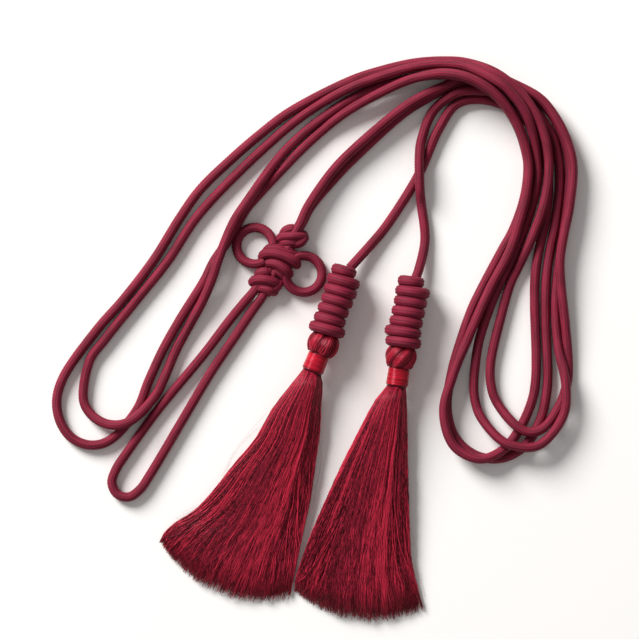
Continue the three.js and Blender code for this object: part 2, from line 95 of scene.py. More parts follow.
# Outer half: the hanging loop farthest right and its way back up.
outer_third_loop = [
    (147.1, -12, 6.8), (149.6, -33.6, 4.6), (151.3, -55.2, 2.5), (150.5, -64.1, 2.5),
    (145.5, -77.3, 3.2), (137.1, -87.5, 7.8), (130.2, -89.1, 8), (123.4, -85.7, 7.5),
    (113.4, -73.1, 2.5), (110.7, -64.6, 2.5), (110.4, -53.6, 2.5), (116, -28.4, 2.5),
    (121, -11, 2.5), (125.2, -2.1, 3), (132.9, 15, 6.8), (138.9, 33.7, 8),
]
# Outer half: over the top and down to the far left.
outer_top_left = [
    (140.5, 54.8, 8.2), (136, 72.4, 10.2), (126, 87.6, 11.8), (112.9, 98.4, 12),
    (97.1, 104.5, 5.5), (86.6, 105.5, 2.8), (70.8, 104.5, 2.5), (52.4, 100.3, 2.5),
    (36.6, 95, 2.5), (5, 78.7, 2.5), (-10.7, 66.9, 2.5), (-26.5, 53.2, 2.5), (-42.3, 37.7, 2.5),
    (-52.8, 22.9, 2.5), (-66, 1.6, 2.5), (-82.3, -19.7, 2.5),
]
# Outer half: round the big left loop and back up to the top.
outer_left_loop = [
    (-95.9, -35.2, 2.5), (-114.1, -61, 2.5), (-117.4, -73.6, 2.5), (-114.9, -85.2, 2.5),
    (-108.6, -93, 2.5), (-99.1, -96.2, 2.5), (-89.6, -93.6, 2.5), (-75.4, -77.8, 2.5),
    (-69.1, -62.5, 2.5), (-61.6, -46.2, 2.5), (-52.8, -30.5, 2.5), (-39.7, -9.4, 2.5),
    (-35, 0.1, 2.5), (-26.8, 12.2, 2.5), (-18.1, 27.4, 2.5), (-12.6, 34, 2.5), (1.9, 49.5, 2.5),
    (10.3, 58.2, 2.5), (20.8, 67.9, 2.5), (31.3, 76.3, 4),
]
# Outer half: over the top crossing into the nearest hanging loop.
outer_inner_turn = [
    (41.9, 83, 5.8), (62.9, 93.4, 8.5), (72.4, 96.4, 10.8), (85.5, 98.2, 14.6),
    (98.7, 95.5, 16.5), (113.4, 86.3, 15), (123.9, 72.1, 10.2), (129.4, 55.8, 7.5),
    (130.2, 47.4, 7.5), (128.5, 32.7, 7.5), (126.3, 24.8, 7.5), (120.5, 6.4, 7.2),
    (109.6, -14.7, 6.5), (100, -36.2, 7), (90.3, -59.9, 7.8), (85.6, -78.8, 7.8),
    (91.1, -96.5, 7.8), (104.5, -103.2, 7.8), (116, -99.1, 6.2),
]
# Outer half: up again, round the inside of the top and down to the left coil.
outer_to_coil = [
    (125, -88.8, 2.5), (132.3, -72.5, 2.5), (134.1, -62, 2.5), (134.4, -48.9, 2.5),
    (133.6, -22.6, 2.5), (133.9, -6.8, 2.5), (136.8, 11.1, 2.5), (139.2, 21.1, 2.5),
    (140.8, 40, 2.5), (139.2, 57.9, 2.5), (135.5, 66.3, 2.5), (122.6, 79.5, 2.5),
    (106, 85.3, 2.5), (92.6, 82.9, 2.5), (83.1, 69.5, 2.5), (73.7, 47.9, 2.5), (68.2, 37.9, 2.5),
    (55, 17.9, 2.5), (47.1, 8.5, 3.5), (40, 0.6, 5), (36.6, -3.1, 6),
]
outer_half_route = [
    *outer_top_right,
    *outer_third_loop,
    *outer_top_left,
    *outer_left_loop,
    *outer_inner_turn,
    *outer_to_coil,
]

# Inner half: from the knot along the top and down the right side.
inner_top_right = [
    (7.5, 14.5, 2.5), (11.6, 20.6, 2.5), (15.7, 28.5, 2.5), (30.3, 45.8, 2.5), (41.3, 56.9, 2.5),
    (65, 78.2, 2.5), (77.9, 86.3, 2.5), (87.6, 91.3, 2.5), (105, 94.8, 2.5), (112.9, 93.7, 2.5),
    (126.6, 89.5, 2.5), (139.4, 81.1, 2.5), (147.6, 67.9, 2.5), (151.7, 52.1, 2.5),
    (150.9, 31.6, 2.5), (147.9, 11.1, 2.5),
]
# Inner half: the middle hanging loop and its way back up.
inner_second_loop = [
    (146.5, 0.1, 2.5), (144.4, -22, 2.5), (146, -45.2, 4), (149.5, -64.1, 7.8),
    (148.6, -79.4, 7.8), (138.9, -93.6, 8.2), (131.8, -97, 8.8), (117.6, -94.6, 9.2),
    (106.3, -83.1, 4.5), (103, -75.7, 2.5), (101.6, -66.2, 2.5), (103.6, -45.2, 2.5),
    (106, -35.7, 2.5), (113.7, -14.7, 2.5), (123.1, 4.8, 2.5), (130, 22.4, 3), (135, 43.2, 3.8),
]
# Inner half: over the top and down to the left.
inner_top_left = [
    (133.9, 59.5, 6), (128.9, 76.3, 12.2), (119.7, 88.7, 15.5), (112.9, 93.9, 15.5),
    (97.1, 101.8, 10), (86.6, 103.4, 7.2), (70.8, 102.1, 7.2), (52.4, 97, 7), (36.6, 91.2, 5.8),
    (20.8, 82.7, 4), (5, 71.6, 2.5), (-26.5, 42.5, 2.5), (-44.9, 22.1, 2.5), (-58.6, 1.1, 2.5),
    (-75.4, -19.9, 2.5),
]
# Inner half: round the inner left loop and back up to the top.
inner_left_loop = [
    (-92.3, -41, 2.5), (-99.9, -51.5, 2.5), (-103.3, -72.5, 2.5), (-99.1, -80.2, 3.5),
    (-91.7, -84.7, 5.5), (-83.3, -85.2, 7.5), (-76, -81.7, 7.5), (-65.4, -69.9, 4.5),
    (-61.4, -62, 3.5), (-54.7, -46.2, 2.5), (-46.2, -30.5, 3.5), (-40.4, -19.9, 5.2),
    (-35.5, -8.4, 6.8), (-32, 2.2, 7.5), (-24.4, 20.6, 7.5), (-17.6, 31.1, 7.5), (1.7, 57.3, 3),
    (22.4, 75.7, 2.5),
]
# Inner half: under the outer half into the nearest hanging loop.
inner_inner_turn = [
    (41.9, 87.9, 2.5), (62.9, 95, 3.5), (79.2, 97.7, 7.6), (91.8, 97.2, 11.2),
    (98.7, 95.4, 11.8), (113.4, 86.2, 10.2), (123.9, 72.1, 5.2), (129.4, 55.8, 2.5),
    (130, 47.4, 2.5), (127.9, 32.7, 2.5), (122.1, 16.4, 2.5), (116.6, 6.4, 2.5),
    (105.4, -14.7, 2.5), (100.4, -25.2, 2.5), (93.2, -46.2, 2.5), (90.3, -56.8, 2.5),
    (87.6, -77.3, 2.5), (92.4, -93, 2.5), (103.9, -102, 2.5), (117.1, -102.8, 2.5),
]
# Inner half: up again, over the inside of the top and down to the right coil.
inner_to_coil = [
    (128.4, -96.5, 2.5), (136.5, -83.1, 2.5), (140.3, -64.6, 2.5), (139.9, -43.6, 2.5),
    (139.3, -30.5, 2.5), (139.7, -9.4, 2.5), (142.3, 9.5, 2.5), (144.1, 17.9, 2.5),
    (146.5, 37.9, 2.5), (146.7, 47.4, 2.5), (143.7, 64.2, 2.5), (135.8, 77.1, 2.8),
    (129.7, 82.1, 4), (113.9, 88.4, 5.8), (98.7, 89.7, 6.2), (91.8, 88.2, 5.5), (80.3, 79.2, 3),
    (74, 63.7, 4), (72.9, 55.3, 6.8), (73.2, 39, 6.5), (74, 30.6, 3), (76, 11.6, 2.5),
    (72.6, -4.2, 5.5), (71.1, -8.4, 6),
]
inner_half_route = [
    *inner_top_right,
    *inner_second_loop,
    *inner_top_left,
    *inner_left_loop,
    *inner_inner_turn,
    *inner_to_coil,
]

# The loop that closes the belt: two legs and a round end.
closing_loop_route = [
    (-11.2, -11.4, 5.2), (-13.8, -15.4, 4.8), (-18.6, -20.9, 3.2), (-26.5, -30.5, 2.5),
    (-38.6, -46.5, 2.5), (-47, -56.8, 2.5), (-64.6, -78.1, 2.5), (-79.6, -98.8, 2.5),
    (-86.4, -109.2, 2.5), (-88.4, -116, 2.5), (-85.6, -121.8, 2.5), (-79.6, -123.4, 2.5),
    (-73.6, -119.4, 2.5), (-68.4, -111.8, 2.5), (-61.8, -100.9, 2.5), (-54.4, -88.3, 2.5),
    (-35.6, -56.8, 2.5), (-24.9, -41, 2.5), (-14.3, -25.2, 3), (-9.6, -18.6, 4.5),
    (-6.6, -13, 5.2),
]
# %% A smooth line through the points
def spline_through(points):
    """A centripetal curve through points of any dimension, many steps to a stretch."""
    p = np.asarray(points, float)
    p = np.vstack([2 * p[0] - p[1], p, 2 * p[-1] - p[-2]])
    steps = np.linspace(0, 1, 24, endpoint=False)[:, None]
    out = []
    for a, b, c, d in zip(p, p[1:], p[2:], p[3:]):
        t1 = max(np.linalg.norm(b - a), 1e-9) ** 0.5
        t2 = t1 + max(np.linalg.norm(c - b), 1e-9) ** 0.5
        t3 = t2 + max(np.linalg.norm(d - c), 1e-9) ** 0.5
        t = t1 + (t2 - t1) * steps
        ab = a + (b - a) * t / t1
        bc = b + (c - b) * (t - t1) / (t2 - t1)
        cd = c + (d - c) * (t - t2) / (t3 - t2)
        abc = ab + (bc - ab) * t / t2
        bcd = bc + (cd - bc) * (t - t1) / (t3 - t1)
        out.append(abc + (bcd - abc) * (t - t1) / (t2 - t1))
    return np.vstack([*out, p[-2:-1]])


def length_of(line):
    return float(np.linalg.norm(np.diff(line, axis=0), axis=1).sum())


def evenly(line, step):
    """The same line with its points a fixed step apart."""
    far = np.concatenate([[0], np.cumsum(np.linalg.norm(np.diff(line, axis=0), axis=1))])
    at = np.linspace(0, far[-1], max(2, round(far[-1] / step) + 1))
    return np.stack([np.interp(at, far, line[:, k]) for k in range(line.shape[1])], axis=1)


# %% [markdown]
# ## From line to tube
# A Curve object with a round bevel is Blender's own way to make a cord. Turned into a
# mesh, its points run ring by ring, so the braid can be pressed into it afterwards and
# a UV map can follow the cord: U counts round it and V is millimetres along it.

# %% Tubes along lines
def tubes(name, lines, radius, bevel_level, thickness=None):
    """One mesh of round tubes along lines. thickness holds each point's share of radius."""
    curve = bpy.data.curves.new(name, "CURVE")
    curve.dimensions = "3D"
    curve.bevel_depth = radius
    curve.bevel_resolution = bevel_level
    for k, line in enumerate(lines):
        spline = curve.splines.new("POLY")
        spline.points.add(len(line) - 1)
        spline.points.foreach_set("co", np.c_[line, np.ones(len(line))].ravel())
        if thickness is not None:
            spline.points.foreach_set("radius", np.asarray(thickness[k], float))
    holder = bpy.data.objects.new(name, curve)
    bpy.context.scene.collection.objects.link(holder)
    depsgraph = bpy.context.evaluated_depsgraph_get()
    mesh = bpy.data.meshes.new_from_object(holder.evaluated_get(depsgraph))
    bpy.data.objects.remove(holder)
    mesh.name = name
    piece = bpy.data.objects.new(name, mesh)
    bpy.context.scene.collection.objects.link(piece)
    return piece


def sides_of(bevel_level):
    return 4 + 2 * bevel_level


def points_of(mesh):
    co = np.empty(len(mesh.vertices) * 3)
    mesh.vertices.foreach_get("co", co)
    return co.reshape(-1, 3)


def close_ends(piece):
    """Fills the open ends, and turns every face outwards."""
    bm = bmesh.new()
    bm.from_mesh(piece.data)
    edges = [edge for edge in bm.edges if edge.is_boundary]
    bmesh.ops.holes_fill(bm, edges=edges, sides=0)
    bmesh.ops.recalc_face_normals(bm, faces=bm.faces)
    for face in bm.faces:
        face.smooth = True
    bm.to_mesh(piece.data)
    bm.free()


def lay_uv(piece, lines, sides, turns):
    """U runs from 0 to turns round each tube, V is millimetres along it."""
    mesh = piece.data
    while mesh.uv_layers:
        mesh.uv_layers.remove(mesh.uv_layers[0])
    along = [np.concatenate([[0], np.cumsum(np.linalg.norm(np.diff(n, axis=0), axis=1))]) for n in lines]
    v_of = np.repeat(np.concatenate(along) / MM, sides)
    u_of = np.tile(np.arange(sides) / sides, sum(len(n) for n in lines))
    corner = np.empty(len(mesh.loops), int)
    mesh.loops.foreach_get("vertex_index", corner)
    u = u_of[corner]
    start = np.empty(len(mesh.polygons), int)
    mesh.polygons.foreach_get("loop_start", start)
    highest = np.maximum.reduceat(u, start)
    total = np.empty(len(mesh.polygons), int)
    mesh.polygons.foreach_get("loop_total", total)
    wraps = np.repeat(highest, total) - u > 0.5
    u = np.where(wraps & (np.repeat(total, total) == 4), u + 1, u)
    layer = mesh.uv_layers.new(name="UVMap")
    layer.data.foreach_set("uv", np.c_[u * turns, v_of[corner]].ravel())


# %% [markdown]
# ## The braid
# A braided cord shows lengthwise ribs, the wales, with small slanting stitches in
# each. Bump alone would leave the outline smooth, so the ribs and the larger stitches
# are real: every second side of the tube is a groove, and each rib swells and thins.

# %% Press the braid into a tube
CORD_DIAMETER = 5.0 * MM
WALES = 10
CORD_LEVEL = 8
STITCH = 1.47
RIB_DEPTH = 0.16 * MM
STITCH_DEPTH = 0.1 * MM


def braid(piece, lines, level=CORD_LEVEL, depth=1.0):
    sides = sides_of(level)
    mesh = piece.data
    co = points_of(mesh).reshape(-1, sides, 3)
    centre = co.mean(axis=1, keepdims=True)
    out = co - centre
    out /= np.linalg.norm(out, axis=2, keepdims=True)
    ring = np.concatenate([np.arange(len(n)) for n in lines])[:, None]
    side = np.arange(sides)[None, :]
    groove = np.where(side % 2 == 1, -1.0, 0.25)
    slant = np.where((side // 2) % 2 == 0, 0.0, math.pi)
    swell = np.sin(2 * math.pi * ring / 3.0 + slant)
    rise = groove * RIB_DEPTH + np.where(side % 2 == 0, swell, 0) * STITCH_DEPTH
    co += out * (rise * depth)[..., None]
    mesh.vertices.foreach_set("co", co.ravel())


def braided_cord(name, lines, thickness=None, radius=CORD_DIAMETER / 2, level=CORD_LEVEL, depth=1.0):
    """A finished piece of braided cord along one line or several."""
    piece = tubes(name, lines, radius, level, thickness)
    lay_uv(piece, lines, sides_of(level), WALES)
    braid(piece, lines, level, depth)
    close_ends(piece)
    return piece

# %% [markdown]
# ## Materials
# Five finishes make the whole object. The cord is braided rayon: a dull burgundy skin
# with painted shade in its grooves. The floss of the tassels is loose silk: brighter and
# glossy, with painted highlights that run along the thread. The heads are the same silk,
# folded and darker, lighter on each fold's crest and darker in its hollow: painted shade.
# The neck bands are silk wound tight, so they shine like satin. The stray hairs are
# single filaments, thin enough to look grey.

# %% One function for colour, one for nodes
def linear(hex_colour):
    """An sRGB hex colour as the linear values that shaders use."""
    parts = [int(hex_colour[i:i + 2], 16) / 255 for i in (1, 3, 5)]
    return [c / 12.92 if c <= 0.04045 else ((c + 0.055) / 1.055) ** 2.4 for c in parts] + [1.0]


def add(material, kind, settings=(), **links):
    """Adds a node. settings are (name, value) pairs, links fill inputs with values or sockets."""
    node = material.node_tree.nodes.new(kind)
    for key, value in settings:
        setattr(node, key, value)
    for key, value in links.items():
        name = key.replace("_", " ")
        spot = int(key[1:]) if key[0] == "i" and key[1:].isdigit() else name
        if isinstance(value, bpy.types.NodeSocket):
            material.node_tree.links.new(value, node.inputs[spot])
        else:
            node.inputs[spot].default_value = value
    return node


def new_material(name):
    material = bpy.data.materials.new(name)
    material.use_nodes = True
    material.node_tree.nodes.clear()
    return material


def finish_material(material, shader):
    output = add(material, "ShaderNodeOutputMaterial")
    material.node_tree.links.new(shader.outputs[0], output.inputs["Surface"])
    return material


def math_node(material, operation, a, b=0.5):
    return add(material, "ShaderNodeMath", [("operation", operation)], i0=a, i1=b).outputs[0]


def mixed(material, share, dark, light):
    node = add(material, "ShaderNodeMix", [("data_type", "RGBA")], i0=share, i6=dark, i7=light)
    return node.outputs[2]


# %% Braided rayon, for every cord
def braided_rayon():
    """A braid of yarn: rough, with a faint sheen, painted shade in the grooves and lighter ribs."""
    m = new_material("braided_rayon")
    uv = add(m, "ShaderNodeUVMap", [("uv_map", "UVMap")]).outputs[0]
    split = add(m, "ShaderNodeSeparateXYZ", i0=uv)
    wale = math_node(m, "FRACT", split.outputs[0])
    from_rib = math_node(m, "ABSOLUTE", math_node(m, "SUBTRACT", wale, 0.5))
    lean = math_node(m, "MULTIPLY", from_rib, 0.9)
    rows = math_node(m, "ADD", math_node(m, "DIVIDE", split.outputs[1], STITCH / 2), lean)
    stitch = math_node(m, "SINE", math_node(m, "MULTIPLY", rows, 2 * math.pi))
    stretch = add(m, "ShaderNodeMapping", Vector=uv, Scale=(2.0, 0.35, 1.0)).outputs[0]
    yarn = add(m, "ShaderNodeTexNoise", Vector=stretch, Scale=2.2, Detail=3.0, Roughness=0.6).outputs[0]
    place = add(m, "ShaderNodeTexCoord").outputs["Object"]
    patches = add(m, "ShaderNodeTexNoise", Vector=place, Scale=90.0, Detail=2.0).outputs[0]
    long_way = add(m, "ShaderNodeMapping", Vector=uv, Scale=(1.1, 0.07, 1.0)).outputs[0]
    runs = add(m, "ShaderNodeTexNoise", Vector=long_way, Scale=1.0, Detail=1.0).outputs[0]
    # Painted shade: the colour follows the relief, darker in the grooves and between stitches. The runs add
    # random lengthwise streaks.
    rib = math_node(m, "SUBTRACT", 1.0, math_node(m, "MULTIPLY", from_rib, 1.3))
    relief = math_node(m, "ADD", rib, math_node(m, "MULTIPLY", stitch, 0.28))
    relief = math_node(m, "ADD", relief, math_node(m, "MULTIPLY", yarn, 0.9))
    paint = math_node(m, "ADD", relief, math_node(m, "MULTIPLY", runs, 1.2))
    tone = add(m, "ShaderNodeMapRange", Value=paint, i1=1.05, i2=2.2).outputs[0]
    colour = mixed(m, tone, linear(CORD_GROOVE_SHADE_AND_DARK_STREAK), linear(CORD_RIDGE))
    shade = add(m, "ShaderNodeMapRange", Value=patches, i1=0.35, i2=0.7, i3=0.0, i4=0.18).outputs[0]
    colour = mixed(m, shade, colour, linear(CORD_WORN))
    bump = add(m, "ShaderNodeBump", Height=relief, Strength=0.7, Distance=0.25 * MM).outputs[0]
    shader = add(
        m, "ShaderNodeBsdfPrincipled", Base_Color=colour, Normal=bump, Roughness=0.68, IOR=1.45,
        Specular_IOR_Level=0.35, Sheen_Weight=0.05, Sheen_Roughness=0.4,
    )
    shader.inputs["Sheen Tint"].default_value = linear(CORD_SHEEN)
    return finish_material(m, shader)


# The dark end of the cord's colour: painted shade in the grooves, and the dark of its random streaks.
CORD_GROOVE_SHADE_AND_DARK_STREAK = "#310512"
CORD_RIDGE = "#941737"
CORD_WORN = "#a5304e"
CORD_SHEEN = "#e08a9c"
rayon = braided_rayon()


# %% Silk floss, wound silk and single filaments
SHADE_SPREAD = 300.0
SILK_HIGHLIGHT = "#ff96a4"
SILK_SHEEN = "#ff9a9a"


def silk(name, dark, light, gloss_roughness, streak_scale):
    """Glossy silk with painted highlights and shade in streaks along each thread. A thread's shade picks its
    streaks.
    """
    m = new_material(name)
    shade = add(m, "ShaderNodeAttribute", [("attribute_name", "thread_shade")]).outputs["Fac"]
    uv = add(m, "ShaderNodeUVMap", [("uv_map", "UVMap")]).outputs[0]
    stretch = add(m, "ShaderNodeMapping", Vector=uv, Scale=(1.0, streak_scale, 1.0)).outputs[0]
    own = math_node(m, "MULTIPLY", shade, SHADE_SPREAD)
    streak = add(
        m, "ShaderNodeTexNoise", [("noise_dimensions", "4D")], Vector=stretch, W=own, Scale=1.0,
    ).outputs[0]
    # Painted highlights: the streak noise lightens and darkens the colour along each thread.
    painted_glint = add(m, "ShaderNodeMapRange", Value=streak, i1=0.35, i2=0.66, i3=-0.35, i4=0.4).outputs[0]
    tone = math_node(m, "ADD", shade, painted_glint)
    tone = add(m, "ShaderNodeClamp", Value=tone).outputs[0]
    colour = mixed(m, tone, linear(dark), linear(light))
    bump = add(m, "ShaderNodeBump", Height=streak, Strength=0.3, Distance=0.1 * MM).outputs[0]
    shader = add(
        m, "ShaderNodeBsdfPrincipled", Base_Color=colour, Normal=bump, Roughness=gloss_roughness, IOR=1.54,
        Specular_IOR_Level=0.5, Specular_Tint=linear(SILK_HIGHLIGHT), Sheen_Weight=0.1, Sheen_Roughness=0.3,
    )
    shader.inputs["Sheen Tint"].default_value = linear(SILK_SHEEN)
    return finish_material(m, shader)


floss = silk("silk_floss", "#27020a", "#c62c45", 0.36, 0.5)
head_silk = silk("folded_silk", "#35050e", "#b02439", 0.36, 0.2)
satin = silk("wound_satin", "#5c0610", "#c91f35", 0.24, 0.05)
filament = silk("stray_filament", "#8d7d80", "#a9989a", 0.4, 0.3)


def thread_uv_and_shade(piece, lines, sides, shades):
    """U and V along each thread, and one shade for the whole of each thread."""
    lay_uv(piece, lines, sides, 1)
    count = [len(line) * sides for line in lines]
    values = np.repeat(np.asarray(shades, float), count)
    attribute = piece.data.attributes.new("thread_shade", "FLOAT", "POINT")
    attribute.data.foreach_set("value", values)


def thread_piece(name, lines, radius, shades, thickness=None, level=0):
    piece = tubes(name, lines, radius, level, thickness)
    thread_uv_and_shade(piece, lines, sides_of(level), shades)
    close_ends(piece)
    return piece


def hand_in(piece, material, body, slot_name, *nodes):
    """Every finished piece gets its finish and its body, and the CAD nodes it stands for are hidden."""
    piece.data.materials.clear()
    piece.data.materials.append(material)
    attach(piece, body)
    if nodes:
        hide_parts(*nodes)
    print(piece.name, len(piece.data.polygons), "faces")


# %% [markdown]
# ## The cord's two halves and the closing loop
# Each half is nearly 1.8 m long, because it runs round the bundle twice. It keeps its
# full 5 mm here; where turns press together the soft skins sink into each other a
# little.

# %% Make the long cords
RING_STEP = STITCH / 3 * MM
LOWEST_AXIS = 2.65 * MM


def free_cord(name, route, node):
    line = evenly(spline_through(np.array(route) * MM), RING_STEP)
    line[:, 2] = np.maximum(line[:, 2], LOWEST_AXIS)
    piece = braided_cord(name, [line])
    hand_in(piece, rayon, "folded_cord", "cord", node)
    print(name, "is", round(length_of(line), 3), "m long")


free_cord("outer_half_of_cord", outer_half_route, "cord_strand_left")
free_cord("inner_half_of_cord", inner_half_route, "cord_strand_right")
free_cord("closing_loop_of_cord", closing_loop_route, "closing_loop")

# %% [markdown]
# ## The decorative knot
# Three tight knots sit in a row. In each, one stretch of cord wraps over another, so a
# knot is a few short, fat arches of the same cord that rise from the table, cross and
# dive again. Their lengthwise fibres show which way each wrap runs. A small lump inside
# closes the gaps. The ears are open loops of the same cord that leave the middle knot.

# %% Arches of cord over a lump
# Each wrap: three or more points (x, y, height) in millimetres along its middle.
KNOT_WRAPS = {
    "upper_knot": [
        [(-1.0, 11.0, 2.6), (1.2, 13.2, 6.0), (6.3, 13.6, 8.4), (11.6, 13.4, 6.4), (13.4, 11.6, 2.6)],
        [(1.4, 13.8, 2.6), (2.9, 16.2, 6.4), (5.8, 17.3, 7.4), (8.6, 15.6, 5.6), (9.4, 13.4, 3.4)],
        [(11.4, 15.4, 2.8), (12.4, 12.8, 5.6), (11.0, 10.4, 6.8), (8.0, 9.6, 6.2), (5.2, 9.0, 3.4)],
        [(0.2, 9.7, 3.0), (3.2, 10.2, 6.2), (7.4, 10.4, 6.8), (10.4, 9.0, 3.4)],
    ],
    "middle_knot": [
        [
            (-9.6, 0.6, 2.6), (-8.4, 3.8, 6.0), (-4.2, 4.6, 8.4),
            (1.6, 3.2, 8.8), (7.0, 0.6, 7.6), (9.4, -2.6, 3.0),
        ],
        [
            (-7.6, 4.6, 2.8), (-5.6, 6.6, 6.2), (-1.8, 6.7, 7.2),
            (2.8, 5.0, 6.8), (7.2, 3.6, 4.8), (9.0, 1.2, 2.6),
        ],
        [(-8.0, -2.2, 2.6), (-5.2, -0.4, 6.4), (-1.2, -1.4, 8.2), (2.8, -4.4, 7.6), (5.2, -7.4, 2.8)],
        [(-4.6, -4.4, 2.8), (-1.4, -4.8, 5.8), (1.4, -6.8, 5.4), (2.2, -8.2, 2.8)],
    ],
    "lower_knot": [
        [(-15.2, -11.8, 2.6), (-13.4, -9.6, 6.2), (-8.6, -9.2, 8.4), (-3.6, -10.6, 7.2), (-0.4, -12.6, 2.7)],
        [(-12.4, -14.2, 3.0), (-9.4, -13.6, 6.2), (-5.4, -14.8, 6.8), (-2.0, -15.8, 2.8)],
        [(-11.6, -8.2, 2.8), (-10.6, -5.8, 6.2), (-7.4, -5.3, 6.8), (-5.6, -7.6, 4.0)],
        [(-7.6, -16.4, 2.7), (-4.6, -15.0, 5.0), (-1.4, -12.6, 5.6), (-0.4, -9.8, 2.8)],
    ],
    "upper_crossing": [
        [(1.0, 9.4, 3.0), (3.2, 8.3, 6.4), (5.6, 5.8, 6.6), (7.0, 3.6, 3.2)],
        [(5.4, 9.6, 3.0), (4.4, 7.4, 7.0), (2.2, 5.9, 6.2), (0.2, 5.6, 3.0)],
    ],
    "lower_crossing": [
        [(-6.6, -2.6, 3.0), (-5.4, -4.6, 6.4), (-5.8, -7.2, 6.0), (-7.6, -8.6, 3.0)],
        [(-3.0, -3.6, 3.0), (-3.3, -5.8, 6.8), (-3.6, -8.0, 6.2), (-4.8, -9.4, 3.0)],
    ],
}
WRAP_RADIUS = {
    "upper_knot": 2.55, "middle_knot": 2.75, "lower_knot": 2.55,
    "upper_crossing": 1.75, "lower_crossing": 1.6,
}
KNOT_NODES = {
    "upper_knot": "knot_upper", "middle_knot": "knot_centre", "lower_knot": "knot_lower",
    "upper_crossing": "knot_crossing_upper", "lower_crossing": "knot_crossing_lower",
}


def tapered_ends(count, share=0.12, tip=0.55):
    """Thickness along a wrap: it is squeezed where it dives under its neighbours."""
    t = np.linspace(0, 1, count)
    near = np.minimum(t, 1 - t) / share
    return tip + (1 - tip) * np.sin(np.clip(near, 0, 1) * math.pi / 2)


def lump(name, node):
    """A rounded filling inside a knot, so no gap between its wraps shows the table."""
    low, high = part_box(node)
    bm = bmesh.new()
    bmesh.ops.create_icosphere(bm, subdivisions=4, radius=1.0)
    size = [(high[k] - low[k]) / 2 * 0.82 for k in range(3)]
    bmesh.ops.scale(bm, vec=size, verts=bm.verts)
    middle = [(high[k] + low[k]) / 2 for k in range(2)] + [size[2] + 0.2 * MM]
    bmesh.ops.translate(bm, vec=middle, verts=bm.verts)
    mesh = bpy.data.meshes.new(name)
    bm.to_mesh(mesh)
    bm.free()
    mesh.uv_layers.new(name="UVMap")
    piece = bpy.data.objects.new(name, mesh)
    bpy.context.scene.collection.objects.link(piece)
    return piece


for knot, wraps in KNOT_WRAPS.items():
    lines = [evenly(spline_through(np.array(w) * MM), RING_STEP) for w in wraps]
    shares = [tapered_ends(len(line)) for line in lines]
    piece = braided_cord(knot, lines, shares, WRAP_RADIUS[knot] * MM)
    hand_in(piece, rayon, "folded_cord", "cord", KNOT_NODES[knot])

for knot in ("upper_knot", "middle_knot", "lower_knot"):
    hand_in(lump(knot + "_filling", KNOT_NODES[knot]), rayon, "folded_cord", "cord")


# %% The two ears
EAR_RADIUS = 9.6
EARS = {
    "left_ear": ((-13.3, 8.5), 0, 305, "ear_loop_left"),
    "right_ear": ((12.3, -6.3), 120, -298, "ear_loop_right"),
}
EAR_RISE = 3.6

for ear, (middle, start, sweep, node) in EARS.items():
    share = np.linspace(0, 1, 40)
    turn = np.radians(start + sweep * share)
    rise = 2.5 + EAR_RISE * np.abs(2 * share - 1) ** 3
    circle = np.c_[middle[0] + EAR_RADIUS * np.cos(turn), middle[1] + EAR_RADIUS * np.sin(turn), rise]
    line = evenly(circle * MM, RING_STEP)
    piece = braided_cord(ear, [line])
    hand_in(piece, rayon, "folded_cord", "cord", node)

# %% [markdown]
# ## Coil knots
# Before each tassel the cord is wound seven times round its own end. A turn lies nearly
# square to the cord and steps over to the next one towards the underside, out of sight
# from above. Turns pulled tighter are smaller, and a few sit off to one side. The
# winding is one line, and the straight end of the cord inside it is another.

# %% Places and directions of the two ends
joint_at = {joint["name"]: joint["pos_m"] for joint in frame["record"]["behaviour"]["joints"]}
TURN_PITCH = 5.3
FIRST_TURN = 8.2
SIDES = {
    "left": {
        "pivot": np.array(joint_at["tassel_swing_left"]),
        "coil": 74.3,
        "skirt": 248,
        "turns": [(9.8, -0.2), (8.6, -0.2), (8.4, 0.2), (8.6, 0.8), (8.9, 1.1), (8.9, 1.2), (6.8, 0.0)],
    },
    "right": {
        "pivot": np.array(joint_at["tassel_swing_right"]),
        "coil": 82.3,
        "skirt": 262,
        "turns": [(9.5, 0.2), (9.7, -0.7), (8.9, 0.3), (8.9, 0.7), (8.8, 1.1), (9.2, 1.5), (7.1, 0.0)],
    },
}


def direction(degrees):
    return np.array([math.cos(math.radians(degrees)), math.sin(math.radians(degrees)), 0.0])


def laid_down(local, pivot, degrees):
    """Turns (side, up, along) into the row frame, with along pointing in a direction on the table."""
    along = direction(degrees)
    side = np.array([along[1], -along[0], 0.0])
    up = np.array([0.0, 0.0, 1.0])
    return pivot + local[:, :1] * side + local[:, 1:2] * up + local[:, 2:] * along


# %% Wind the coils
TURN_RADIUS = 2.8
POINTS_PER_TURN = 72
STEP_FROM = 0.8
STEP_SHARE = 0.2
LAST_TURN_SHARE = 0.97
SQUARENESS = 2.5


def coil_line(end):
    """The winding, from the tassel's end to the far end, in (side, up, along) metres."""
    out = []
    for k, (reach, offset) in enumerate(end["turns"]):
        last = k == len(end["turns"]) - 1
        nxt = end["turns"][k if last else k + 1]
        share = np.arange(POINTS_PER_TURN) / POINTS_PER_TURN
        turn = -math.pi / 2 + 2 * math.pi * share
        step = np.where(share > STEP_FROM, (share - STEP_FROM) / STEP_SHARE, 0.0) * (not last)
        step = step * step * (3 - 2 * step)
        radius = reach - TURN_RADIUS + (nxt[0] - reach) * step
        middle = offset + (nxt[1] - offset) * step
        along = FIRST_TURN + TURN_PITCH * (k + step)
        out.append(np.c_[radius * np.cos(turn) + middle, radius * np.sin(turn), along])
    return np.vstack(out[:-1] + [out[-1][: int(POINTS_PER_TURN * LAST_TURN_SHARE)]])


